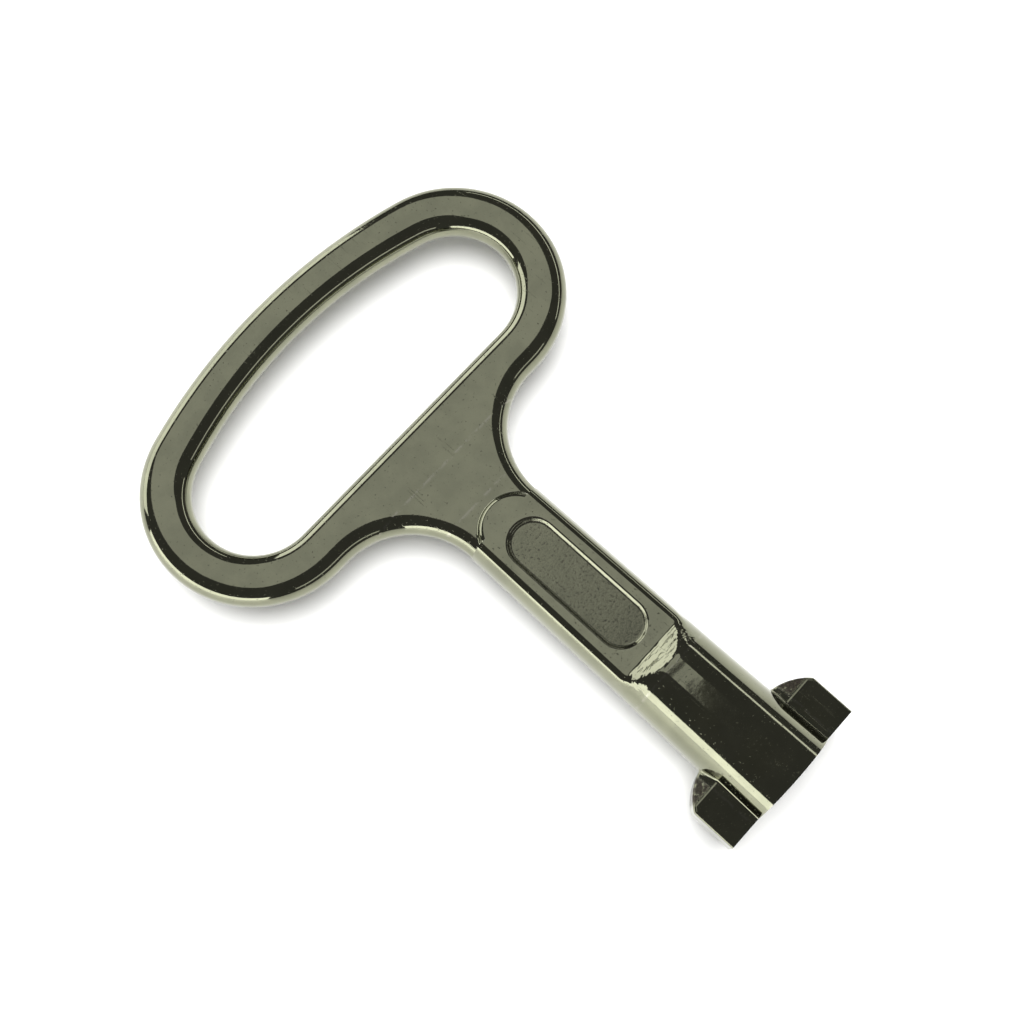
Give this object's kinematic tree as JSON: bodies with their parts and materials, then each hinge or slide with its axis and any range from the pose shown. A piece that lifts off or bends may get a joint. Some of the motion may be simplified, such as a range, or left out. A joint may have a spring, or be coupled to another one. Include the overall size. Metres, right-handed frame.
{
  "type": "double-bit panel key",
  "caption": "Die-cast double-bit key with a wide D-shaped finger loop, a flat-sided shank and a hollow round barrel that turns a panel lock or a valve.",
  "frame": {"origin": "centre of the pin bore's mouth, in the flat tip face of the barrel", "axes": "+X out of the bore's mouth, away from the finger loop; +Y across the finger loop; +Z square to the flat faces"},
  "size_m": [0.0693, 0.0506, 0.0104],
  "materials": {
    "plated_zinc": "bright plated zinc die casting, slightly uneven, with a rough as-cast sunken panel"
  },
  "bodies": {
    "root": {"bow": "plated_zinc", "web": "plated_zinc", "shank": "plated_zinc", "barrel": "plated_zinc", "bit_left": "plated_zinc", "bit_right": "plated_zinc"}
  },
  "joints": []
}
